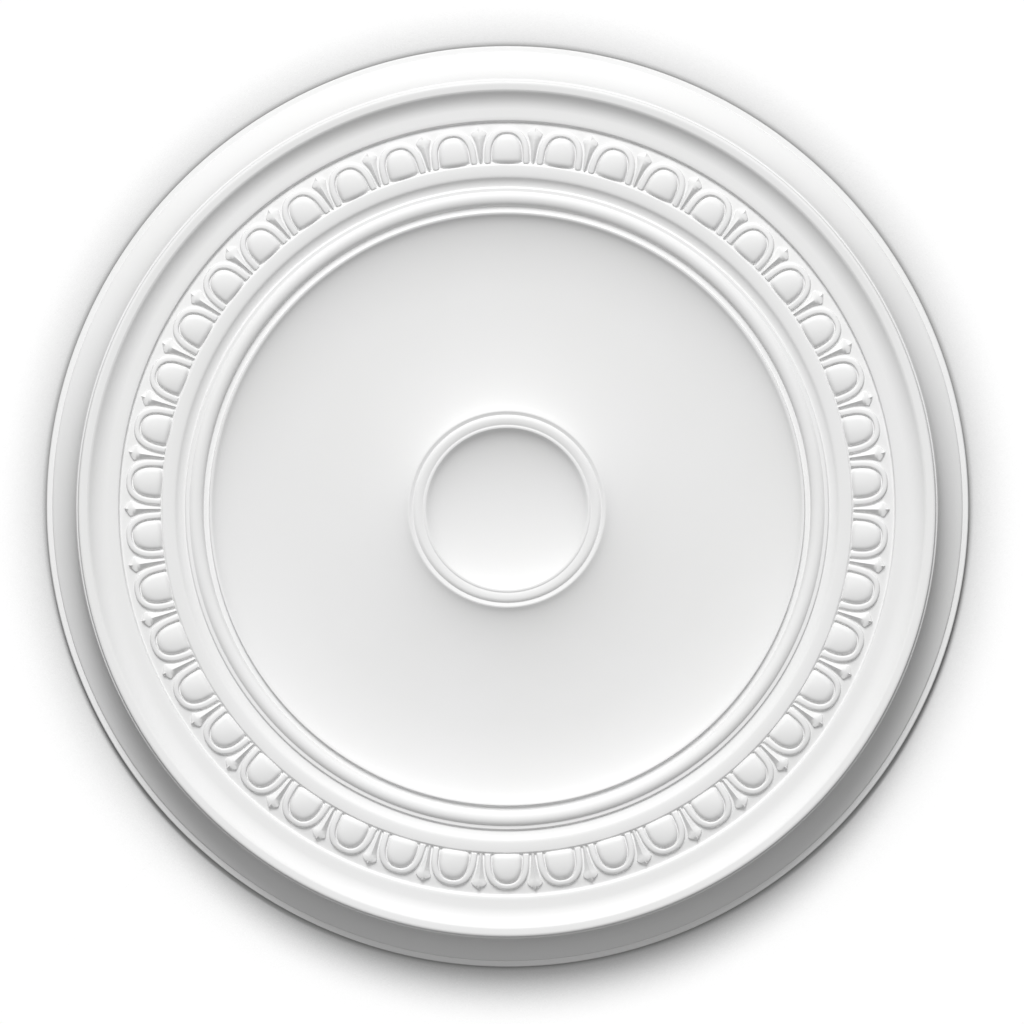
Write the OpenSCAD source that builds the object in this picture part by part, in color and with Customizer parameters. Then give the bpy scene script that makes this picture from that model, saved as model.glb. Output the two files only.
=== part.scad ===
// Ceiling rose with an egg-and-dart belt, cast in one piece.
// Its flat back, which is fixed to the ceiling, lies on z = 0 and its face looks along +z.
// Widths run inwards from the rim and heights run up from the back, all in millimetres.

/* [Overall] */
// Diameter over the rim
rose_d = 620; // [540:5:800]
// Height of the outer ridge over the back
rose_depth = 34; // [28:1:46]
// Thickness at the rim
edge_t = 5; // [3:0.5:7]

/* [Outer mouldings] */
// Width of the flat fillet round the rim
edge_w = 4.4; // [3:0.1:6]
// Height of the small riser at the foot of the hollow
riser_h = 0.6; // [0.5:0.1:3]
// Width of the hollow that climbs to the ridge
cavetto_w = 16.7; // [12:0.1:22]
// Height of the steep wall between the hollow and the top of the ridge
ridge_wall_h = 6; // [4:0.1:8]
// Width of the ridge
ridge_w = 7.8; // [6:0.1:10]
// Width of the cove inside the ridge
cove_w = 17.2; // [12:0.1:22]
// Drop of the cove below the ridge
cove_drop = 5.6; // [4:0.1:7]
// Width of the step at the outside of the egg belt
step_w = 4.4; // [3:0.1:6]
// Height of that step
step_drop = 2.6; // [1.5:0.1:3.5]

/* [Egg-and-dart] */
// Width of the belt
belt_w = 27.3; // [22:0.1:34]
// Spacing of the eggs round the belt
egg_pitch = 36.8; // [30:0.1:46]
// Share of the spacing taken by an egg
egg_share = 0.6; // [0.5:0.01:0.64]
// Width of the shell round an egg
shell_w = 3.5; // [2.8:0.1:5]
// Rise of the rounded belt from its ground to its crown
ovolo_rise = 2.2; // [1.5:0.1:4]
// Height of the shells and darts above the ground
carve_h = 2; // [1:0.1:2.5]
// Height of an egg above the shells
egg_rise = 1.4; // [0.8:0.1:2]

/* [Inner mouldings] */
// Width of the plain band
band_w = 7.7; // [5:0.1:10]
// Width of the small cove
small_cove_w = 8.6; // [6:0.1:10]
// Drop of the small cove
small_cove_drop = 3; // [1.8:0.1:3.5]
// Width of the narrow fillet at the foot of the bead
bead_fillet_w = 2.5; // [1.5:0.1:4]
// Height of that fillet above the small cove
bead_fillet_rise = 1.3; // [0.6:0.1:1.8]
// Width of the round bead
bead_w = 9.2; // [8:0.1:13]
// Height of the bead above the small cove
bead_rise = 3.5; // [2.9:0.1:4.5]
// Width of the narrow groove at the edge of the disc
quirk_w = 4.6; // [2.5:0.1:6]

/* [Centre] */
// Dip of the disc between its edge and the centre ring
disc_dip = 10; // [5:0.5:12]
// Diameter over the centre ring
ring_d = 132; // [100:1:160]
// Width of the centre ring
ring_w = 11.4; // [9:0.1:14]
// Dip of the dish inside the centre ring
dish_dip = 12; // [5:0.5:14]

/* [Hidden] */
// radii where one moulding meets the next
rim_r = rose_d / 2;
cavetto_r = rim_r - edge_w;
ridge_r = cavetto_r - cavetto_w;
cove_r = ridge_r - ridge_w;
step_r = cove_r - cove_w;
belt_r = step_r - step_w;
band_r = belt_r - belt_w;
small_cove_r = band_r - band_w;
fillet_r = small_cove_r - small_cove_w;
bead_r = fillet_r - bead_fillet_w;
quirk_r = bead_r - bead_w;
disc_r = quirk_r - quirk_w;
ring_r = ring_d / 2;
dish_r = ring_r - ring_w;

// small bevel that stands for the softness of a cast edge
soft = 0.5;

// heights over the back
cove_h = rose_depth - cove_drop;
ground_h = cove_h - step_drop;
crown_h = ground_h + ovolo_rise;
top_h = crown_h + carve_h;
band_h = top_h - 0.2;
small_cove_h = band_h - small_cove_drop;
bead_foot_h = small_cove_h + bead_fillet_rise;
bead_h = small_cove_h + bead_rise;
disc_h = bead_h - 1.5;
ring_h = disc_h + 0.2;

// the belt: crown and ground are the levels of its carving
egg_mid_r = band_r + belt_w * 0.45;
egg_count = round(2 * PI * egg_mid_r / egg_pitch);
egg_step = 360 / egg_count;
egg_foot_r = band_r + 0.9;
shell_top_r = belt_r - 3;
crown_r = band_r + belt_w * 0.28;
// half widths follow the true spacing at the inner end of the eggs
half_step = egg_foot_r * tan(egg_step / 2);
egg_half = half_step * egg_share;
egg_gap = 0.7;
dart_half = 0.05 * half_step;
shell_leg = half_step - egg_half - egg_gap - dart_half * 2.6;
egg_len = shell_top_r - egg_foot_r - shell_w - egg_gap;
leg_len = egg_len * 0.25;

// a curve from p to q whose slope turns from a to b degrees
function curve(p, q, a, b, n) =
    [for (i = [0:n]) let (t = a + (b - a) * i / n)
        [p[0] + (q[0] - p[0]) * (sin(t) - sin(a)) / (sin(b) - sin(a)),
         p[1] + (q[1] - p[1]) * (cos(a) - cos(t)) / (cos(a) - cos(b))]];

// the same curve walked from q to p
function back_curve(p, q, a, b, n) =
    let (c = curve(q, p, a, b, n)) [for (i = [n:-1:0]) c[i]];

// outer rim, hollow and ridge
function outer_profile() = concat(
    [[rim_r, 0], [rim_r, edge_t - soft], [rim_r - soft, edge_t], [cavetto_r + soft, edge_t]],
    curve([cavetto_r, edge_t + riser_h], [ridge_r + 1, rose_depth - ridge_wall_h], 38, 80, 10),
    [[ridge_r + 0.1, rose_depth - ridge_wall_h * 0.45],
     [ridge_r - ridge_w * 0.08, rose_depth - ridge_wall_h * 0.4]],
    back_curve([ridge_r - ridge_w * 0.18, rose_depth - ridge_wall_h * 0.12],
        [ridge_r - ridge_w * 0.4, rose_depth], 0, 46, 3),
    [[cove_r + ridge_w * 0.15, rose_depth - 0.1], [cove_r, rose_depth - soft]]);

// cove inside the ridge and the step down to the belt
function cove_profile() = concat(
    back_curve([cove_r - soft, rose_depth - 2 * soft], [step_r + cove_w * 0.3, cove_h - 0.2],
        0, 46, 7),
    [[step_r, cove_h], [belt_r + step_w * 0.5, cove_h - step_drop * 0.08],
     [belt_r + step_w * 0.34, cove_h - step_drop * 0.23],
     [belt_r + step_w * 0.2, ground_h], [belt_r, ground_h]]);

// plain band, small cove and bead
function inner_profile() = concat(
    [[band_r + 1.3, ground_h], [band_r + 0.3, crown_h], [band_r, band_h - 0.4],
     [band_r - 0.5, band_h]],
    [[small_cove_r + 0.3, band_h]],
    curve([small_cove_r, band_h - 0.05], [small_cove_r - 2, band_h - 0.7], 4, 40, 2),
    back_curve([small_cove_r - 2.4, band_h - 1.05], [fillet_r + 0.5, small_cove_h], 4, 48, 4),
    [[fillet_r - 0.1, bead_foot_h - 0.15], [fillet_r - 0.5, bead_foot_h]],
    back_curve([bead_r, bead_foot_h - 0.1], [bead_r - bead_w * 0.46, bead_h], 0, 66, 6),
    curve([bead_r - bead_w * 0.46, bead_h], [quirk_r, bead_h - 2.6], 0, 72, 6));

// groove, dished disc, centre ring and centre dish
function centre_profile() = concat(
    [[quirk_r - 0.5, bead_h - 2.9], [disc_r + 0.7, bead_h - 3], [disc_r + 0.3, disc_h - 0.3],
     [disc_r, disc_h], [disc_r - 0.8, disc_h - 0.15]],
    back_curve([disc_r - 1.6, disc_h - 0.55], [ring_r + (disc_r - ring_r) * 0.6, disc_h - disc_dip],
        0, 80, 12),
    curve([ring_r + (disc_r - ring_r) * 0.58, disc_h - disc_dip], [ring_r + 0.5, ring_h - 0.4],
        0, 80, 12),
    [[ring_r - 0.4, ring_h - 0.2], [ring_r - 2.6, ring_h - 1.2]],
    back_curve([ring_r - 2.9, ring_h - 1.1], [ring_r - ring_w * 0.5, ring_h], 0, 50, 3),
    curve([ring_r - ring_w * 0.5, ring_h], [dish_r + 1.9, ring_h - 0.7], 0, 44, 3),
    [[dish_r + 1, ring_h - 0.3], [dish_r, ring_h - 0.4]],
    back_curve([dish_r - 0.6, ring_h - 0.8], [0, ring_h - dish_dip], 0, 80, 12),
    [[0, 0]]);

// rounded top of the shells and darts, walked inwards
function belt_profile() = concat(
    back_curve([belt_r - 0.5, ground_h + carve_h * 0.6], [crown_r, top_h], 0, 54, 3),
    [[egg_foot_r, top_h - 0.4]]);

// outline of an egg grown by grow, feet on the inner end of the belt
function egg_outline(half, leg, length) = concat(
    [[half, 0]],
    [for (i = [0:10]) let (a = 18 * i, c = cos(a))
        [half * sign(c) * pow(abs(c), 0.83), leg + (length - leg) * pow(sin(a), 0.83)]],
    [[-half, 0]]);

module shell_2d() {
    translate([0, egg_foot_r])
    difference() {
        polygon(egg_outline(egg_half + egg_gap + shell_leg, leg_len, shell_top_r - egg_foot_r));
        translate([0, -1])
            polygon(egg_outline(egg_half + egg_gap, leg_len + 1, egg_len + egg_gap + 1));
    }
}

module dart_2d() {
    barb_r = egg_foot_r + belt_w * 0.7;
    waist_r = egg_foot_r + belt_w * 0.36;
    polygon([
        [dart_half, egg_foot_r], [dart_half * 2.6, waist_r], [dart_half * 5.6, barb_r],
        [0, shell_top_r + 0.4],
        [-dart_half * 5.6, barb_r], [-dart_half * 2.6, waist_r], [-dart_half, egg_foot_r]]);
}

module shells_and_darts() {
    intersection() {
        translate([0, 0, ground_h - 2])
        linear_extrude(height = top_h - ground_h + 4)
        for (i = [0:egg_count - 1]) {
            rotate(egg_step * i)
                shell_2d();
            rotate(egg_step * (i + 0.5))
                dart_2d();
        }
        rotate_extrude()
        polygon(concat(
            [[belt_r - 0.5, ground_h - 1.5]], belt_profile(), [[egg_foot_r, ground_h - 1.5]]));
    }
}

module egg() {
    dome_r = egg_half * egg_half / 2 / (egg_rise + 0.6);
    intersection() {
        translate([0, egg_foot_r, ground_h - 1])
        linear_extrude(height = top_h - ground_h + egg_rise + 2)
            polygon(egg_outline(egg_half, leg_len, egg_len));
        translate([0, crown_r, top_h + egg_rise - dome_r])
            sphere(r = dome_r);
    }
}

module ceiling_rose() {
    color([0.93, 0.93, 0.92])
    union() {
        rotate_extrude()
        polygon(concat(outer_profile(), cove_profile(), inner_profile(), centre_profile()));
        shells_and_darts();
        for (i = [0:egg_count - 1])
            rotate([0, 0, egg_step * i])
                egg();
    }
}

ceiling_rose();
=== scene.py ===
import math
from types import SimpleNamespace

import bmesh
import bpy
from bpy.props import FloatProperty, FloatVectorProperty, IntProperty, PointerProperty
from mathutils import Matrix, Vector, geometry


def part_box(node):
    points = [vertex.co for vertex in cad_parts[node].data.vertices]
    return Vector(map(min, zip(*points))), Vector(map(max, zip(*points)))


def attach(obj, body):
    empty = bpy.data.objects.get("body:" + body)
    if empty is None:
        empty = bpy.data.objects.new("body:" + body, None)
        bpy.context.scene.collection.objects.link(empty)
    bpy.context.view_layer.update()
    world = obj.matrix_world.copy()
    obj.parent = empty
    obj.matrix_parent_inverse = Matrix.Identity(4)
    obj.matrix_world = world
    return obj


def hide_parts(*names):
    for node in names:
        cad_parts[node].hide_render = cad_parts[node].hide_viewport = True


bl_info = {
    "name": "Ceiling rose",
    "version": (1, 0, 0),
    "blender": (4, 5, 0),
    "location": "View3D > Sidebar > Rose",
    "description": "Casts a ceiling rose with an egg-and-dart belt and sets it on a pale stage",
    "category": "Add Mesh",
}

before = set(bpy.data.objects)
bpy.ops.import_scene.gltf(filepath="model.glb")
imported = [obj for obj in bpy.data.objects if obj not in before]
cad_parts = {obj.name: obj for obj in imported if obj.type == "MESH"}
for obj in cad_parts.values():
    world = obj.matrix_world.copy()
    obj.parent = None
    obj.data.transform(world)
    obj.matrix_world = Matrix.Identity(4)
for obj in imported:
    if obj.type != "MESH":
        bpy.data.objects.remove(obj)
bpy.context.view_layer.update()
BACK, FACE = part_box("ceiling_rose")
MM = 0.001


def length(name, description, default, **more):
    """A length property in metres."""
    return FloatProperty(name=name, description=description, default=default, unit="LENGTH", **more)


class RoseMouldings(bpy.types.PropertyGroup):
    """Sizes of the turned mouldings, from the rim inwards."""
    rim_radius: length("Rim radius", "Half the width over the rim", FACE.x)
    edge_height: length("Edge", "Thickness at the rim", 5 * MM)
    edge_width: length("Fillet", "Width of the flat fillet round the rim", 4.4 * MM)
    riser_height: length("Riser", "Height of the small riser at the foot of the hollow", 1.4 * MM)
    cavetto_width: length("Hollow", "Width of the hollow that climbs to the ridge", 16.7 * MM)
    ridge_width: length("Ridge", "Width of the ridge", 7.8 * MM)
    ridge_height: length("Ridge height", "Height of the ridge over the back", 34 * MM)
    ridge_wall: length("Ridge wall", "Height from the end of the hollow to the top", 5.6 * MM)
    cove_width: length("Cove", "Width of the cove inside the ridge", 17.2 * MM)
    cove_drop: length("Cove drop", "Drop of the cove below the ridge", 5.6 * MM)
    step_width: length("Step", "Width of the step outside the belt", 4.4 * MM)
    step_drop: length("Step drop", "Height of that step", 2.6 * MM)
    belt_width: length("Belt", "Width of the egg-and-dart belt", 27.3 * MM)
    band_width: length("Band", "Width of the plain band", 7.7 * MM)
    band_drop: length("Band drop", "Drop of the band below the tops of the shells", 0.2 * MM)
    small_cove_width: length("Small cove", "Width of the small cove", 8.6 * MM)
    small_cove_drop: length("Small cove drop", "Drop of the small cove", 3.0 * MM)
    fillet_width: length("Bead fillet", "Width of the fillet at the foot of the bead", 2.5 * MM)
    fillet_rise: length("Fillet rise", "Height of that fillet over the small cove", 1.5 * MM)
    bead_width: length("Bead", "Width of the round bead", 9.2 * MM)
    bead_rise: length("Bead rise", "Height of the bead over the small cove", 3.5 * MM)
    quirk_width: length("Quirk", "Width of the groove at the edge of the disc", 4.6 * MM)
    quirk_depth: length("Quirk depth", "Depth of that groove below the bead", 3.8 * MM)
    disc_drop: length("Disc drop", "Drop of the disc's edge below the bead", 1.5 * MM)
    disc_dip: length("Disc dip", "Dip of the disc below its edge", 10 * MM)
    ring_radius: length("Ring radius", "Half the width over the centre ring", 66 * MM)
    ring_width: length("Ring", "Width of the centre ring", 11.4 * MM)
    ring_rise: length("Ring rise", "Height of the centre ring over the disc's edge", 0.2 * MM)
    dish_dip: length("Dish dip", "Dip of the dish inside the centre ring", 12 * MM)
    softness: length("Softness", "Rounding of the cast edges", 0.25 * MM)


class RoseBelt(bpy.types.PropertyGroup):
    """Sizes of the egg-and-dart carving."""
    egg_count: IntProperty(name="Eggs", description="Number of eggs round the belt", default=42)
    egg_share: FloatProperty(name="Egg share", description="Share of the spacing that an egg takes",
                             default=0.56, min=0.5, max=0.64)
    egg_rise: length("Egg rise", "Height of an egg over the shells", 1.4 * MM)
    egg_gap: length("Egg gap", "Width of the cut between egg and shell", 0.7 * MM)
    shell_width: length("Shell", "Width of the shell round the end of an egg", 4 * MM)
    carve_height: length("Carving", "Height of the shells and darts over the ground", 2.0 * MM)
    ovolo_rise: length("Rise", "Rise of the belt from its ground to its crown", 2.2 * MM)


class RoseFinish(bpy.types.PropertyGroup):
    """Colours and surface of the casting."""
    skin_colour: FloatVectorProperty(name="Skin", description="Primed skin of the face",
                                     subtype="COLOR", size=4, default=(0.775, 0.775, 0.775, 1))
    foam_colour: FloatVectorProperty(name="Foam", description="Bare foam of the back",
                                     subtype="COLOR", size=4, default=(0.74, 0.71, 0.63, 1))
    roughness: FloatProperty(name="Roughness", description="Roughness of the primed skin",
                             default=0.62, min=0, max=1)


class RoseStage(bpy.types.PropertyGroup):
    """Floor, lights and camera."""
    floor_size: length("Floor", "Side of the pale floor", 40.0)
    # reach and power of the painted shade: the floor's colour darkens near the rose
    shade_reach: length("Shade reach", "Distance over which the floor darkens near the rose", 50 * MM)
    shade_depth: FloatProperty(name="Shade depth", description="Power of that shade", default=1.8)
    key_strength: FloatProperty(name="Key", description="Strength of the large soft light",
                                default=3.05)
    key_azimuth: FloatProperty(name="Key side", description="Turn of the key from +Y towards -X",
                               subtype="ANGLE", default=math.radians(5))
    key_elevation: FloatProperty(name="Key height", description="Angle of the key over the floor",
                                 subtype="ANGLE", default=math.radians(40))
    key_spread: FloatProperty(name="Key spread", description="Apparent width of the key",
                              subtype="ANGLE", default=math.radians(24))
    overhead_strength: FloatProperty(name="Overhead", description="Strength of the overhead light",
                                     default=0.62)
    overhead_spread: FloatProperty(name="Overhead spread", subtype="ANGLE",
                                   description="Apparent width of the overhead light",
                                   default=math.radians(60))
    fill_strength: FloatProperty(name="Fill", description="Strength of the pale surroundings",
                                 default=0.21)
    lens: FloatProperty(name="Lens", description="Focal length of the camera",
                        default=1000, unit="CAMERA")
    lean_up: FloatProperty(name="Lean up", description="Lean of the view towards +Y",
                           subtype="ANGLE", default=math.radians(3.3))
    lean_right: FloatProperty(name="Lean right", description="Lean of the view towards +X",
                              subtype="ANGLE", default=math.radians(0.8))
    frame_share: FloatProperty(name="Frame share", description="Share of the frame that the rose fills",
                               default=0.9, min=0.1, max=1)
    aim: FloatVectorProperty(name="Aim", description="Place on the floor that the camera looks at",
                             subtype="TRANSLATION", unit="LENGTH", size=3,
                             default=(3 * MM, -3.7 * MM, 0))


def in_millimetres(group):
    """The group's sizes as plain numbers, lengths in millimetres."""
    sizes = SimpleNamespace()
    for name, prop in group.bl_rna.properties.items():
        if prop.type == "FLOAT" and not prop.is_array:
            value = getattr(group, name)
            setattr(sizes, name, value / MM if prop.unit == "LENGTH" else value)
        elif prop.type == "INT":
            setattr(sizes, name, getattr(group, name))
    return sizes


def rose_levels(scene):
    """Radii and heights at which one member meets the next, in millimetres."""
    m = in_millimetres(scene.rose_mouldings)
    b = in_millimetres(scene.rose_belt)
    at = SimpleNamespace(m=m, b=b, rim=m.rim_radius)
    at.cavetto = at.rim - m.edge_width
    at.ridge = at.cavetto - m.cavetto_width
    at.cove = at.ridge - m.ridge_width
    at.step = at.cove - m.cove_width
    at.belt = at.step - m.step_width
    at.band = at.belt - m.belt_width
    at.small_cove = at.band - m.band_width
    at.fillet = at.small_cove - m.small_cove_width
    at.bead = at.fillet - m.fillet_width
    at.quirk = at.bead - m.bead_width
    at.disc = at.quirk - m.quirk_width
    at.ring = m.ring_radius
    at.dish = at.ring - m.ring_width
    at.cove_h = m.ridge_height - m.cove_drop
    at.ground_h = at.cove_h - m.step_drop
    at.top_h = at.ground_h + b.ovolo_rise + b.carve_height
    at.band_h = at.top_h - m.band_drop
    at.band_edge_h = at.band_h - 0.6
    at.small_cove_h = at.band_h - m.small_cove_drop
    at.bead_foot_h = at.small_cove_h + m.fillet_rise
    at.bead_h = at.small_cove_h + m.bead_rise
    at.disc_h = at.bead_h - m.disc_drop
    at.ring_h = at.disc_h + m.ring_rise
    # the belt: foot of the eggs, crown of its round, outer end of the shells, edge of the band
    foot_inset = 0.9
    shell_margin = 3
    at.foot = at.band + foot_inset
    at.crown = at.band + m.belt_width * 0.28
    at.shell_top = at.belt - shell_margin
    at.inner_edge = at.band - 0.4
    # the belt repeats once for each egg, and a repeat meets so many segments of the mouldings
    at.step_angle = 2 * math.pi / b.egg_count
    at.edge_steps = 6
    return at


# ---------------------------------------------------------------- turned mouldings

def curve(p, q, a, b, n):
    """Points from p to q along a curve whose slope turns from a to b degrees."""
    a, b = math.radians(a), math.radians(b)
    points = []
    for i in range(n + 1):
        t = a + (b - a) * i / n
        across = (math.sin(t) - math.sin(a)) / (math.sin(b) - math.sin(a))
        up = (math.cos(a) - math.cos(t)) / (math.cos(a) - math.cos(b))
        points.append((p[0] + (q[0] - p[0]) * across, p[1] + (q[1] - p[1]) * up))
    return points


def back_curve(p, q, a, b, n):
    """The same curve walked the other way, so that it ends at slope a."""
    return curve(q, p, a, b, n)[::-1]


def soften(points, radius, limit=16, steps=2):
    """Rounds each corner sharper than limit degrees, as a cast edge is."""
    spread = 1.6
    most = 0.42
    rounded = [points[0]]
    for before, corner, after in zip(points, points[1:], points[2:]):
        inward = Vector(before) - Vector(corner)
        outward = Vector(after) - Vector(corner)
        turn = math.pi - inward.angle(outward)
        if math.degrees(turn) < limit:
            rounded.append(corner)
            continue
        # neighbouring corners share the side between them, so neither takes half of it
        wanted = radius * math.tan(turn / 2) * spread
        reach = min(wanted, inward.length * most, outward.length * most)
        start = Vector(corner) + inward.normalized() * reach
        end = Vector(corner) + outward.normalized() * reach
        for i in range(steps + 1):
            t = i / steps
            point = start * (1 - t) ** 2 + Vector(corner) * 2 * t * (1 - t) + end * t ** 2
            rounded.append(tuple(point))
    rounded.append(points[-1])
    return rounded


def outer_outline(at):
    """From the centre of the back, round the rim and over the ridge to the belt."""
    m = at.m
    top = m.ridge_height
    edge = m.edge_height
    # back, rim and the flat fillet on it
    points = [(0, 0), (150, 0), (at.rim - 6, 0), (at.rim - 0.4, 0), (at.rim, 0.4)]
    points += [(at.rim, edge - 0.6), (at.rim - 0.6, edge), (at.cavetto + 0.5, edge)]
    # the hollow steepens from its riser to the wall of the ridge
    points += curve((at.cavetto, edge + m.riser_height), (at.ridge + 1, top - m.ridge_wall), 38, 80, 18)
    # the ridge: a fillet, a rounded shoulder and a nearly flat top
    points += [(at.ridge + 0.3, top - 3.4), (at.ridge - 0.5, top - 3.2)]
    points += back_curve((at.ridge - 1.3, top - 0.6), (at.ridge - 3.1, top), 0, 46, 7)
    points += [(at.cove + 1.2, top - 0.1), (at.cove, top - 0.6)]
    # the cove flattens towards the step
    flat = at.step + m.cove_width * 0.3
    points += back_curve((at.cove - 0.4, top - 0.9), (flat, at.cove_h - 0.2), 0, 46, 10)
    # the step rolls over and drops to the ground of the belt
    roll = at.step - m.step_width * 0.45
    points += back_curve((at.step, at.cove_h), (roll, at.cove_h - 0.15), 30, 0, 4)
    points += [(at.belt + 1.9, at.cove_h - 0.25), (at.belt + 1.5, at.cove_h - 0.6)]
    points += [(at.belt + 1, at.ground_h + 0.4), (at.belt + 0.6, at.ground_h + 0.05)]
    points += [(at.belt, at.ground_h)]
    return soften(points, m.softness)


def inner_outline(at):
    """From the inner edge of the belt over band and bead, across the disc to the centre."""
    m = at.m
    # the plain band
    points = [(at.inner_edge, at.band_edge_h), (at.band - 0.9, at.band_h - 0.1)]
    points += [(at.band - 1.5, at.band_h), (at.small_cove + 0.3, at.band_h)]
    # the small cove
    points += curve((at.small_cove, at.band_h - 0.05), (at.small_cove - 2, at.band_h - 0.7), 4, 40, 4)
    points += back_curve((at.small_cove - 2.4, at.band_h - 1.05), (at.fillet + 0.5, at.small_cove_h),
                         4, 48, 6)
    # the bead on its fillet
    points += [(at.fillet - 0.1, at.bead_foot_h - 0.15), (at.fillet - 0.5, at.bead_foot_h)]
    crest = at.bead - m.bead_width * 0.46
    points += back_curve((at.bead, at.bead_foot_h - 0.1), (crest, at.bead_h), 0, 58, 10)
    points += curve((crest, at.bead_h), (at.quirk, at.bead_h - 2.6), 0, 72, 10)[1:]
    # the quirk between bead and disc
    groove = at.bead_h - m.quirk_depth
    points += [(at.quirk - 0.4, groove + 0.1), (at.disc + 0.7, groove)]
    # the disc dips and climbs to the centre ring
    points += [(at.disc + 0.3, at.disc_h - 0.3), (at.disc, at.disc_h), (at.disc - 0.8, at.disc_h - 0.15)]
    low = at.ring + (at.disc - at.ring) * 0.6
    points += back_curve((at.disc - 1.6, at.disc_h - 0.55), (low, at.disc_h - m.disc_dip), 0, 80, 14)
    points += curve((low - 2.5, at.disc_h - m.disc_dip), (at.ring + 0.5, at.ring_h - 0.4), 0, 80, 14)
    # the centre ring: a lip that falls inwards, a round and a second lip
    points += [(at.ring - 0.4, at.ring_h - 0.2), (at.ring - 2.6, at.ring_h - 1.2)]
    middle = at.ring - m.ring_width * 0.5
    points += back_curve((at.ring - 2.9, at.ring_h - 1.1), (middle, at.ring_h), 0, 50, 5)
    points += curve((middle, at.ring_h), (at.dish + 1.9, at.ring_h - 0.7), 0, 44, 5)[1:]
    points += [(at.dish + 1, at.ring_h - 0.3), (at.dish, at.ring_h - 0.4)]
    # the centre dish
    points += back_curve((at.dish - 0.6, at.ring_h - 0.8), (0, at.ring_h - m.dish_dip), 0, 80, 13)
    return soften(points, m.softness)


def turning_tree():
    """Node tree that turns an outline in the XZ plane once round the Z axis."""
    tree = bpy.data.node_groups.new("turn outline", "GeometryNodeTree")
    face = tree.interface
    face.new_socket("Outline", in_out="INPUT", socket_type="NodeSocketGeometry")
    face.new_socket("Segments", in_out="INPUT", socket_type="NodeSocketInt").default_value = 252
    face.new_socket("Guide Radius", in_out="INPUT", socket_type="NodeSocketFloat")
    face.new_socket("Weld", in_out="INPUT", socket_type="NodeSocketFloat").default_value = 0.00001
    face.new_socket("Material", in_out="INPUT", socket_type="NodeSocketMaterial")
    face.new_socket("Turned", in_out="OUTPUT", socket_type="NodeSocketGeometry")
    nodes, links = tree.nodes, tree.links
    given = nodes.new("NodeGroupInput")
    made = nodes.new("NodeGroupOutput")
    profile = nodes.new("GeometryNodeMeshToCurve")
    circle = nodes.new("GeometryNodeCurvePrimitiveCircle")
    sweep = nodes.new("GeometryNodeCurveToMesh")
    weld = nodes.new("GeometryNodeMergeByDistance")
    realize = nodes.new("GeometryNodeRealizeInstances")
    finish = nodes.new("GeometryNodeSetMaterial")
    links.new(given.outputs["Outline"], profile.inputs["Mesh"])
    links.new(given.outputs["Segments"], circle.inputs["Resolution"])
    links.new(given.outputs["Guide Radius"], circle.inputs["Radius"])
    links.new(circle.outputs["Curve"], sweep.inputs["Curve"])
    links.new(profile.outputs["Curve"], sweep.inputs["Profile Curve"])
    links.new(sweep.outputs["Mesh"], weld.inputs["Geometry"])
    links.new(given.outputs["Weld"], weld.inputs["Distance"])
    links.new(weld.outputs["Geometry"], realize.inputs["Geometry"])
    links.new(realize.outputs["Geometry"], finish.inputs["Geometry"])
    links.new(given.outputs["Material"], finish.inputs["Material"])
    links.new(finish.outputs["Geometry"], made.inputs["Turned"])
    return tree


def repeat_tree():
    """Node tree that repeats a piece of the belt round the Z axis and welds the joints."""
    tree = bpy.data.node_groups.new("repeat round the axis", "GeometryNodeTree")
    face = tree.interface
    face.new_socket("Piece", in_out="INPUT", socket_type="NodeSocketGeometry")
    face.new_socket("Count", in_out="INPUT", socket_type="NodeSocketInt").default_value = 42
    face.new_socket("Weld", in_out="INPUT", socket_type="NodeSocketFloat").default_value = 0.00001
    face.new_socket("Material", in_out="INPUT", socket_type="NodeSocketMaterial")
    face.new_socket("Belt", in_out="OUTPUT", socket_type="NodeSocketGeometry")
    nodes, links = tree.nodes, tree.links
    given = nodes.new("NodeGroupInput")
    made = nodes.new("NodeGroupOutput")
    points = nodes.new("GeometryNodePoints")
    index = nodes.new("GeometryNodeInputIndex")
    share = nodes.new("ShaderNodeMath")
    share.operation = "DIVIDE"
    turn = nodes.new("ShaderNodeMath")
    turn.operation = "MULTIPLY"
    turn.inputs[1].default_value = 2 * math.pi
    spin = nodes.new("ShaderNodeCombineXYZ")
    place = nodes.new("GeometryNodeInstanceOnPoints")
    realize = nodes.new("GeometryNodeRealizeInstances")
    weld = nodes.new("GeometryNodeMergeByDistance")
    finish = nodes.new("GeometryNodeSetMaterial")
    links.new(given.outputs["Count"], points.inputs["Count"])
    links.new(index.outputs["Index"], share.inputs[0])
    links.new(given.outputs["Count"], share.inputs[1])
    links.new(share.outputs["Value"], turn.inputs[0])
    links.new(turn.outputs["Value"], spin.inputs["Z"])
    links.new(points.outputs["Points"], place.inputs["Points"])
    links.new(given.outputs["Piece"], place.inputs["Instance"])
    links.new(spin.outputs["Vector"], place.inputs["Rotation"])
    links.new(place.outputs["Instances"], realize.inputs["Geometry"])
    links.new(realize.outputs["Geometry"], weld.inputs["Geometry"])
    links.new(given.outputs["Weld"], weld.inputs["Distance"])
    links.new(weld.outputs["Geometry"], finish.inputs["Geometry"])
    links.new(given.outputs["Material"], finish.inputs["Material"])
    links.new(finish.outputs["Geometry"], made.inputs["Belt"])
    return tree


def grown(name, mesh, tree, values):
    """Runs a node tree on a mesh and returns the result as a plain mesh."""
    seed = bpy.data.objects.new(name, mesh)
    bpy.context.scene.collection.objects.link(seed)
    modifier = seed.modifiers.new("grow", "NODES")
    modifier.node_group = tree
    sockets = {item.name: item.identifier for item in tree.interface.items_tree
               if item.in_out == "INPUT"}
    for label, value in values.items():
        modifier[sockets[label]] = value
    evaluated = seed.evaluated_get(bpy.context.evaluated_depsgraph_get())
    plain = bpy.data.meshes.new_from_object(evaluated)
    bpy.data.objects.remove(seed)
    return plain


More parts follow.
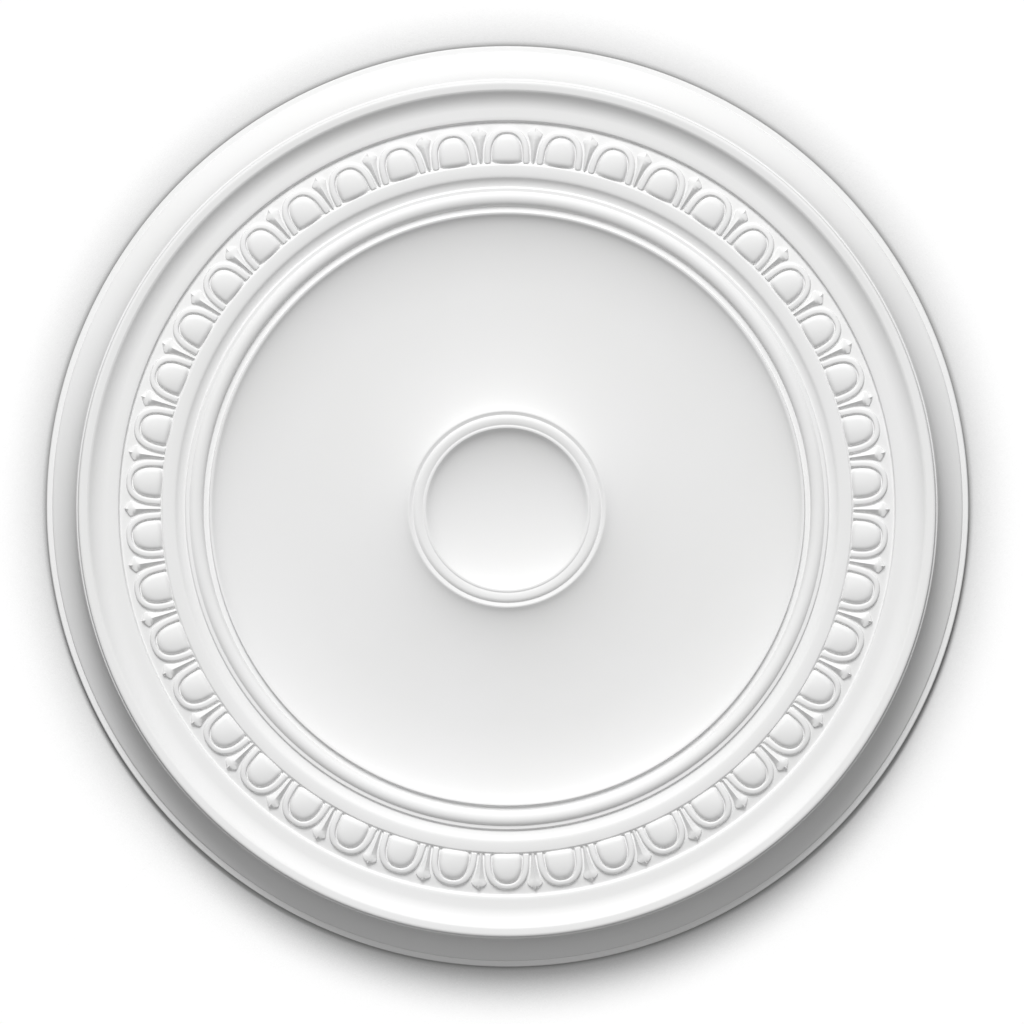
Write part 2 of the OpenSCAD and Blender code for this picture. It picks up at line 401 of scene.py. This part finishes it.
def outline_mesh(name, points, guide):
    """An open chain of edges, in metres, laid out round the guide circle."""
    mesh = bpy.data.meshes.new(name)
    vertices = [((r - guide) * MM, -h * MM, 0) for r, h in points]
    mesh.from_pydata(vertices, [(i, i + 1) for i in range(len(points) - 1)], [])
    return mesh


# ---------------------------------------------------------------- egg-and-dart belt

# rings of an egg, from its middle line (0) to its rim (1)
EGG_RINGS = (0.0, 0.16, 0.34, 0.52, 0.68, 0.8, 0.88, 0.94, 1.0)

# section of a shell from the egg outwards, steep inside and rounded off outside:
# share of its width, share of the carving height
SHELL_SECTION = ((0.0, 0), (0.05, 0.3), (0.11, 0.64), (0.17, 0.88), (0.24, 0.98), (0.36, 1),
                 (0.52, 1), (0.68, 0.97), (0.8, 0.89), (0.89, 0.7), (0.96, 0.38), (1, 0))

# a dart from its foot to its head: place along it, half width in units of the foot's,
# height of its edge over the ground, width of the wall below that edge
DART_SHANK = ((0.0, 1, 1.0, 0.3), (3.3, 1.3, 1.0, 0.3), (6.6, 1.7, 1.0, 0.3), (9.8, 2.2, 1.0, 0.32),
              (12.4, 2.7, 1.0, 0.34), (14.4, 3.2, 1.0, 0.36), (16.0, 3.9, 1.0, 0.38),
              (17.4, 4.5, 1.0, 0.4))
DART_HEAD = ((18.8, 5.2, 1.05, 0.42), (19.7, 5.5, 1.15, 0.42), (20.5, 4.9, 1.3, 0.45),
             (21.6, 3.2, 1.5, 0.45), (22.6, 1.6, 1.6, 0.45))


def ground_surface(at, r):
    """Height of the rounded ground between the carvings at radius r."""
    crown = at.top_h - at.b.carve_height
    if r < at.crown:
        return crown - 0.4 * ((at.crown - r) / (at.crown - at.foot)) ** 2
    end = math.radians(34)
    across = min(1.0, (r - at.crown) / (at.belt - at.crown))
    t = math.asin(across * math.sin(end))
    return crown - (crown - at.ground_h) * (1 - math.cos(t)) / (1 - math.cos(end))


def carving_share(at, r):
    """Share of the full carving height at radius r; the carving thins towards the edge."""
    across = max(0.0, (r - at.crown) / (at.belt - at.crown))
    return 1 - 0.12 * across ** 2


def egg_outline(half, leg, tall, legs=4, caps=26):
    """Outline of an egg from its right foot over its round end to its left foot."""
    fullness = 0.83
    right = [(half, leg * i / legs) for i in range(legs)]
    cap = []
    for i in range(caps + 1):
        a = math.pi * i / caps
        c, s = math.cos(a), abs(math.sin(a))
        across = half * math.copysign(abs(c) ** fullness, c)
        cap.append((across, leg + (tall - leg) * s ** fullness))
    return right + cap + [(-x, y) for x, y in right[::-1]]


class BeltPiece:
    """Points and faces of one repeat of the belt, flattened: x along the belt, y outwards."""

    def __init__(self, at):
        self.at = at
        self.points = []
        self.faces = []
        b = at.b
        # at the foot: half a dart, half an egg, the cut beside it and what is left for the shell
        half_step = at.foot * math.tan(at.step_angle / 2)
        self.dart_half = 0.05 * half_step
        self.egg_half = half_step * b.egg_share
        self.shell_leg = half_step - self.egg_half - b.egg_gap - self.dart_half * 2.6
        # outwards: straight sides for a quarter of the egg, then its round end
        self.egg_tall = at.shell_top - at.foot - b.shell_width - b.egg_gap
        self.leg = self.egg_tall * 0.25

    def add(self, x, y, h):
        self.points.append((x, y, h))
        return len(self.points) - 1

    def bulge(self, x):
        """How far the foot of the egg swells inwards at x."""
        return 0.45 * max(0.0, 1 - (x / self.egg_half) ** 2)

    def row(self, half, tall, height):
        """Adds a row of points along an egg's outline, at the heights that height(x, y) gives."""
        indices = []
        for x, y in egg_outline(half, self.leg, tall):
            y = y - self.bulge(x) * max(0.0, 1 - y / self.leg)
            indices.append(self.add(x, y, height(x, y)))
        return indices

    def egg(self):
        """Rows of the egg: a low dome, rounded down at its rim and its foot."""
        at = self.at
        rise = at.b.egg_rise
        dome_radius = self.egg_half ** 2 / 2 / (rise + 0.6)
        crown = at.crown - at.foot
        foot_reach, foot_drop = 2.6, 1.1
        rim_start, rim_drop = 0.76, 1.3

        def dome_height(x, y, edge):
            fall = (x * x + (y - crown) ** 2) / 2 / dome_radius
            end = max(0.0, 1 - (y + self.bulge(x)) / foot_reach)
            return at.top_h + rise - 0.6 * fall - foot_drop * end ** 2 - edge

        rows = []
        for k in EGG_RINGS:
            tall = self.leg + (self.egg_tall - self.leg) * k
            edge = rim_drop * max(0.0, (k - rim_start) / (1 - rim_start)) ** 2
            rows.append(self.row(self.egg_half * k, tall,
                                 lambda x, y, edge=edge: dome_height(x, y, edge)))
        return rows

    def cut(self):
        """Rows of the narrow cut between the egg and its shell, a little below the ground."""
        at = self.at
        rows = []
        for grow, lift in ((0.2, 0.0), (0.4, -0.1)):
            rows.append(self.row(self.egg_half + grow, self.egg_tall + grow,
                                 lambda x, y, lift=lift: ground_surface(at, at.foot + y) + lift))
        return rows

    def shell(self):
        """Rows of the shell that stands round the egg."""
        at = self.at
        b = at.b
        rows = []
        for t, share in SHELL_SECTION:
            lift = b.carve_height * share
            half = self.egg_half + b.egg_gap + self.shell_leg * t
            tall = self.egg_tall + b.egg_gap + b.shell_width * t
            rows.append(self.row(half, tall, lambda x, y, lift=lift: ground_surface(at, at.foot + y)
                                 + lift * carving_share(at, at.foot + y)))
        return rows

    def bridge(self, rows):
        """Faces between each row and the next."""
        for lower, upper in zip(rows, rows[1:]):
            for a, b, c, d in zip(lower, lower[1:], upper[1:], upper):
                self.faces.append((a, b, c, d))

    def mesh(self, name):
        """Bends the piece round the axis, with its middle on +Y."""
        mesh = bpy.data.meshes.new(name)
        vertices = []
        for x, y, h in self.points:
            r = self.at.foot + y
            vertices.append((r * math.sin(x / r) * MM, r * math.cos(x / r) * MM, h * MM))
        mesh.from_pydata(vertices, [], self.faces)
        return mesh


class BeltGround:
    """Lines drawn on the flattened belt round one shell, and the faces that fill them."""

    def __init__(self, at):
        self.at = at
        self.places = []
        self.heights = []
        self.chains = []

    def point(self, x, y, h):
        self.places.append(Vector((x, y)))
        self.heights.append(h)
        return len(self.places) - 1

    def chain(self, indices):
        self.chains.extend(zip(indices, indices[1:]))

    def surface(self, y):
        return ground_surface(self.at, self.at.foot + y)

    def border(self, y):
        """Half the width of the piece at y, where it meets the next one."""
        return (self.at.foot + y) * self.at.step_angle / 2

    def across(self, y, h):
        """A line from border to border, on the segments of the turned mouldings."""
        count = self.at.edge_steps
        self.chain([self.point((2 * i / count - 1) * self.border(y), y, h) for i in range(count + 1)])

    def crest_lift(self, y):
        """Height of a dart's crest over the ground, which grows a little over the first 12 mm."""
        return self.at.b.carve_height + 0.2 + 0.05 * min(y, 12)

    def half_dart(self, side, foot_half):
        """Half a dart on one border: its crest, the edge of its slope and its foot."""
        at = self.at
        tip_lift = 1.7
        crest, edge, foot = [], [], []
        for y, widths, lift, wall in DART_SHANK + DART_HEAD:
            half = foot_half * widths
            ground = self.surface(y)
            share = carving_share(at, at.foot + y)
            crest.append(self.point(side * self.border(y), y, ground + self.crest_lift(y) * share))
            edge.append(self.point(side * (self.border(y) - half), y, ground + lift * share))
            foot.append(self.point(side * (self.border(y) - half - wall), y, ground))
        tip = at.shell_top + 0.1 - at.foot
        tip_point = self.point(side * self.border(tip), tip, self.surface(tip) + tip_lift)
        crest.append(tip_point)
        edge.append(tip_point)
        # the wall below the tip
        end = tip + 0.5
        end_point = self.point(side * self.border(end), end, self.surface(end))
        foot.append(end_point)
        crest.append(end_point)
        for line in (crest, edge, foot):
            self.chain(line)

    def outer_edge(self):
        """Lines along the outer edge of the belt, closer together towards the step."""
        outer = self.at.belt - self.at.foot
        for inset in (1.6, 0.9, 0.3, 0):
            self.across(outer - inset, self.surface(outer - inset))

    def inner_edge(self, feet, foot_half):
        """Feet of egg, shell and darts, the crease below them and the edge of the band."""
        at = self.at
        ground = self.surface(0)
        y, widths, lift, wall = DART_SHANK[0]
        half = foot_half * widths
        dart_feet = []
        for side in (1, -1):
            for inset, h in ((0, self.crest_lift(y)), (half, lift), (half + wall, 0)):
                dart_feet.append((side * (self.border(y) - inset), y, ground + h))
        feet = sorted(set(feet + dart_feet))
        self.chain([self.point(*foot) for foot in feet])
        crease_h = at.top_h - 1.3
        crease = []
        for x, y, h in feet:
            low = y - 0.6
            on_border = abs(abs(x) - self.border(0)) < 1e-6
            scale = self.border(low) / self.border(0) if on_border else 1
            crease.append(self.point(x * scale, low, crease_h))
        self.chain(crease)
        self.across(at.inner_edge - at.foot, at.band_edge_h)

    def side_border(self, side):
        """The line from band to outer edge on one border, through all points on it."""
        column = []
        for i, place in enumerate(self.places):
            if abs(place.x - side * self.border(place.y)) < 1e-5:
                column.append(i)
        column.sort(key=lambda i: self.places[i].y)
        self.chain(column)

    def fill(self, piece, shell_foot):
        """Adds faces between the lines to the piece, but none under its egg and shell."""
        made, _, faces, origins, _, _ = geometry.delaunay_2d_cdt(self.places, self.chains, [], 1, 1e-5)
        indices = []
        for place, sources in zip(made, origins):
            h = self.heights[sources[0]] if sources else self.surface(place.y)
            indices.append(piece.add(place.x, place.y, h))
        lowest = min(place.y for place in shell_foot)
        for face in faces:
            middle = sum((made[i] for i in face), Vector((0, 0))) / len(face)
            if middle.y > lowest - 1e-6 and inside(middle, shell_foot):
                continue
            piece.faces.append(tuple(indices[i] for i in face))


def belt_piece(at):
    """One egg in its shell, with half a dart on either side."""
    piece = BeltPiece(at)
    rows = piece.egg() + piece.cut() + piece.shell()
    piece.bridge(rows)
    shell_foot = [piece.points[i] for i in rows[-1]]
    feet = [piece.points[i] for row in rows for i in (row[0], row[-1])]

    ground = BeltGround(at)
    ground.chain([ground.point(*point) for point in shell_foot])
    for side in (1, -1):
        ground.half_dart(side, piece.dart_half)
    ground.outer_edge()
    ground.inner_edge(feet, piece.dart_half)
    for side in (1, -1):
        ground.side_border(side)
    ground.fill(piece, [Vector((x, y)) for x, y, h in shell_foot])
    return piece


def inside(place, outline):
    """Whether a place lies inside a closed outline."""
    crossings = 0
    for a, b in zip(outline, outline[1:] + outline[:1]):
        if (a.y > place.y) != (b.y > place.y):
            if place.x < a.x + (place.y - a.y) * (b.x - a.x) / (b.y - a.y):
                crossings += 1
    return crossings % 2 == 1


# ---------------------------------------------------------------- materials

def new_material(name):
    """An empty node material and its shader."""
    material = bpy.data.materials.new(name)
    material.use_nodes = True
    material.node_tree.nodes.clear()
    shader = material.node_tree.nodes.new("ShaderNodeBsdfPrincipled")
    output = material.node_tree.nodes.new("ShaderNodeOutputMaterial")
    material.node_tree.links.new(shader.outputs["BSDF"], output.inputs["Surface"])
    return material, shader


def skin_material(finish):
    """Matt white primer on the face, bare foam on the back."""
    material, shader = new_material("rose white skin")
    nodes, links = material.node_tree.nodes, material.node_tree.links
    shader.inputs["Specular IOR Level"].default_value = 0.3
    coordinates = nodes.new("ShaderNodeTexCoord")

    def noise(scale, detail, roughness):
        texture = nodes.new("ShaderNodeTexNoise")
        texture.inputs["Scale"].default_value = scale
        texture.inputs["Detail"].default_value = detail
        texture.inputs["Roughness"].default_value = roughness
        links.new(coordinates.outputs["Object"], texture.inputs["Vector"])
        return texture

    def mapped(source, low, high, to_low, to_high):
        ranger = nodes.new("ShaderNodeMapRange")
        ranger.inputs["From Min"].default_value = low
        ranger.inputs["From Max"].default_value = high
        ranger.inputs["To Min"].default_value = to_low
        ranger.inputs["To Max"].default_value = to_high
        links.new(source, ranger.inputs["Value"])
        return ranger.outputs["Result"]

    def mixed(factor, a, b):
        mix = nodes.new("ShaderNodeMix")
        mix.data_type = "RGBA"
        links.new(factor, mix.inputs["Factor"])
        for socket, value in ((mix.inputs["A"], a), (mix.inputs["B"], b)):
            if isinstance(value, bpy.types.NodeSocket):
                links.new(value, socket)
            else:
                socket.default_value = value
        return mix.outputs["Result"]

    def bumped(source, strength, depth, under=None):
        bump = nodes.new("ShaderNodeBump")
        bump.inputs["Strength"].default_value = strength
        bump.inputs["Distance"].default_value = depth
        links.new(source, bump.inputs["Height"])
        if under:
            links.new(under, bump.inputs["Normal"])
        return bump.outputs["Normal"]

    # the primer: white, faintly clouded
    white = tuple(finish.skin_colour)
    clouded = tuple(c * k for c, k in zip(white, (0.985, 0.985, 0.98, 1)))
    cloudy = mapped(noise(9, 4, 0.55).outputs["Fac"], 0.35, 0.7, 0, 1)
    skin = mixed(cloudy, white, clouded)
    # the bare foam of the back: darker in its pores
    foam = tuple(finish.foam_colour)
    pore_tint = tuple(c * 0.86 for c in foam[:3]) + (1,)
    pores = nodes.new("ShaderNodeTexVoronoi")
    pores.inputs["Scale"].default_value = 900
    links.new(coordinates.outputs["Object"], pores.inputs["Vector"])
    pore_mask = mapped(pores.outputs["Distance"], 0.15, 0.45, 1, 0)
    bare = mixed(pore_mask, foam, pore_tint)
    # the foam shows on the back and fades out over the lowest half millimetre of the rim
    height = nodes.new("ShaderNodeSeparateXYZ")
    links.new(coordinates.outputs["Object"], height.inputs["Vector"])
    is_back = mapped(height.outputs["Z"], 0.1 * MM, 0.6 * MM, 1, 0)
    links.new(mixed(is_back, skin, bare), shader.inputs["Base Color"])
    dull = mapped(noise(60, 3, 0.6).outputs["Fac"], 0.3, 0.7,
                  finish.roughness - 0.06, finish.roughness + 0.08)
    links.new(dull, shader.inputs["Roughness"])

    # fine grain over the broad unevenness of a casting
    fine = bumped(noise(1100, 3, 0.55).outputs["Fac"], 0.12, 0.2 * MM)
    broad = bumped(noise(38, 2, 0.5).outputs["Fac"], 0.1, 0.8 * MM, under=fine)
    links.new(broad, shader.inputs["Normal"])
    return material


def floor_material(stage):
    """Pale matt floor with a painted shade: its colour darkens where the rose stands close."""
    material, shader = new_material("pale floor")
    nodes, links = material.node_tree.nodes, material.node_tree.links
    coordinates = nodes.new("ShaderNodeTexCoord")
    cloud = nodes.new("ShaderNodeTexNoise")
    cloud.inputs["Scale"].default_value = 3
    tint = nodes.new("ShaderNodeMix")
    tint.data_type = "RGBA"
    tint.inputs["A"].default_value = (0.97, 0.97, 0.97, 1)
    tint.inputs["B"].default_value = (0.99, 0.99, 0.99, 1)
    links.new(coordinates.outputs["Object"], cloud.inputs["Vector"])
    links.new(cloud.outputs["Fac"], tint.inputs["Factor"])
    # painted shade: ambient occlusion darkens the floor's colour round the rose, a soft contact shadow
    # painted into the colour
    near = nodes.new("ShaderNodeAmbientOcclusion")
    near.inputs["Distance"].default_value = stage.shade_reach
    near.samples = 8
    painted_shade_power = nodes.new("ShaderNodeMath")
    painted_shade_power.operation = "POWER"
    painted_shade_power.inputs[1].default_value = stage.shade_depth
    links.new(near.outputs["AO"], painted_shade_power.inputs[0])
    shade = nodes.new("ShaderNodeMix")
    shade.data_type = "RGBA"
    shade.inputs["A"].default_value = (0, 0, 0, 1)
    links.new(painted_shade_power.outputs["Value"], shade.inputs["Factor"])
    links.new(tint.outputs["Result"], shade.inputs["B"])
    links.new(shade.outputs["Result"], shader.inputs["Base Color"])
    shader.inputs["Roughness"].default_value = 0.9
    shader.inputs["Specular IOR Level"].default_value = 0.1
    return material


# ---------------------------------------------------------------- operators

class ROSE_OT_cast(bpy.types.Operator):
    """Make the whole casting: turned mouldings, egg-and-dart belt and finish"""
    bl_idname = "rose.cast"
    bl_label = "Cast the rose"

    def execute(self, context):
        scene = context.scene
        at = rose_levels(scene)
        skin = skin_material(scene.rose_finish)
        # the two turned outlines and the belt between them
        turned = {"Segments": at.b.egg_count * at.edge_steps, "Guide Radius": at.rim * MM,
                  "Material": skin}
        tree = turning_tree()
        members = []
        for name, outline in (("outer", outer_outline(at)), ("inner", inner_outline(at))):
            members.append(grown(name, outline_mesh(name, outline, at.rim), tree, turned))
        belt = belt_piece(at).mesh("belt piece")
        members.append(grown("belt", belt, repeat_tree(), {"Count": at.b.egg_count, "Material": skin}))

        # welded into one closed casting
        work = bmesh.new()
        for member in members:
            work.from_mesh(member)
        bmesh.ops.remove_doubles(work, verts=work.verts, dist=0.00002)
        bmesh.ops.dissolve_degenerate(work, edges=work.edges, dist=0.000001)
        bmesh.ops.recalc_face_normals(work, faces=work.faces)
        open_edges = [edge for edge in work.edges if not edge.is_manifold]
        if open_edges:
            spots = [tuple(round(c, 5) for c in edge.verts[0].co) for edge in open_edges[:6]]
            raise RuntimeError(f"the casting has {len(open_edges)} open edges, at {spots}")
        mesh = bpy.data.meshes.new("ceiling_rose_casting")
        work.to_mesh(mesh)
        work.free()
        mesh.materials.clear()
        mesh.materials.append(skin)
        mesh.shade_smooth()
        mesh.set_sharp_from_angle(angle=math.radians(48))
        rose = bpy.data.objects.new("ceiling_rose_casting", mesh)
        scene.collection.objects.link(rose)
        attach(rose, "root")
        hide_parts("ceiling_rose")
        return {"FINISHED"}


class ROSE_OT_stage(bpy.types.Operator):
    """Lay the pale floor and set lights, surroundings and camera"""
    bl_idname = "rose.stage"
    bl_label = "Set the stage"

    def execute(self, context):
        scene = context.scene
        stage = scene.rose_stage
        half = stage.floor_size / 2
        mesh = bpy.data.meshes.new("floor")
        mesh.from_pydata([(-half, -half, 0), (half, -half, 0), (half, half, 0), (-half, half, 0)],
                         [], [(0, 1, 2, 3)])
        mesh.materials.append(floor_material(stage))
        floor = bpy.data.objects.new("floor", mesh)
        floor.location.z = BACK.z - 0.2 * MM
        # the floor throws no light back, so that the outer hollow keeps its depth
        floor.visible_diffuse = False
        scene.collection.objects.link(floor)

        key = towards(stage.key_azimuth, stage.key_elevation)
        soft_light(scene, "key", stage.key_strength, stage.key_spread, key)
        soft_light(scene, "overhead", stage.overhead_strength, stage.overhead_spread,
                   Vector((0, 0, 1)))

        world = bpy.data.worlds.new("pale surroundings")
        world.use_nodes = True
        background = world.node_tree.nodes["Background"]
        background.inputs["Color"].default_value = (1, 1, 1, 1)
        background.inputs["Strength"].default_value = stage.fill_strength
        scene.world = world
        scene.view_settings.view_transform = "Standard"

        lens = bpy.data.cameras.new("camera")
        lens.lens = stage.lens
        # a long lens stands far off
        lens.clip_end = 100
        # the rose lies a little up and left of the middle of the frame
        distance = (FACE.x - BACK.x) / stage.frame_share * stage.lens / lens.sensor_width
        direction = Vector((math.tan(stage.lean_right), math.tan(stage.lean_up), 1)).normalized()
        camera = bpy.data.objects.new("camera", lens)
        camera.location = Vector(stage.aim) + direction * distance
        camera.rotation_mode = "QUATERNION"
        across = Vector((0, 1, 0)).cross(direction).normalized()
        turn = Matrix((across, direction.cross(across), direction)).transposed()
        camera.rotation_quaternion = turn.to_quaternion()
        scene.collection.objects.link(camera)
        scene.camera = camera
        return {"FINISHED"}


def soft_light(scene, name, strength, spread, direction):
    """A distant light of the given apparent width, seen in one direction from the rose."""
    light = bpy.data.lights.new(name, "SUN")
    light.energy = strength
    light.angle = spread
    lamp = bpy.data.objects.new(name, light)
    lamp.location = direction * 3
    lamp.rotation_mode = "QUATERNION"
    lamp.rotation_quaternion = direction.to_track_quat("Z", "Y")
    scene.collection.objects.link(lamp)


def towards(azimuth, elevation):
    """Unit direction; azimuth 0 is +Y and turns towards -X."""
    level = math.cos(elevation)
    return Vector((-math.sin(azimuth) * level, math.cos(azimuth) * level, math.sin(elevation)))


class ROSE_PT_panel(bpy.types.Panel):
    """Lists the steps that make the rose"""
    bl_idname = "ROSE_PT_panel"
    bl_label = "Ceiling rose"
    bl_space_type = "VIEW_3D"
    bl_region_type = "UI"
    bl_category = "Rose"

    def draw(self, context):
        for operator in (ROSE_OT_cast, ROSE_OT_stage):
            self.layout.operator(operator.bl_idname)


CLASSES = (RoseMouldings, RoseBelt, RoseFinish, RoseStage,
           ROSE_OT_cast, ROSE_OT_stage, ROSE_PT_panel)
SETTINGS = (("rose_mouldings", RoseMouldings), ("rose_belt", RoseBelt),
            ("rose_finish", RoseFinish), ("rose_stage", RoseStage))


def register():
    for cls in CLASSES:
        bpy.utils.register_class(cls)
    for name, group in SETTINGS:
        setattr(bpy.types.Scene, name, PointerProperty(type=group))


def unregister():
    for name, _ in SETTINGS:
        delattr(bpy.types.Scene, name)
    for cls in reversed(CLASSES):
        bpy.utils.unregister_class(cls)


def main():
    register()
    bpy.ops.rose.cast()
    bpy.ops.rose.stage()


if __name__ == "__main__":
    main()
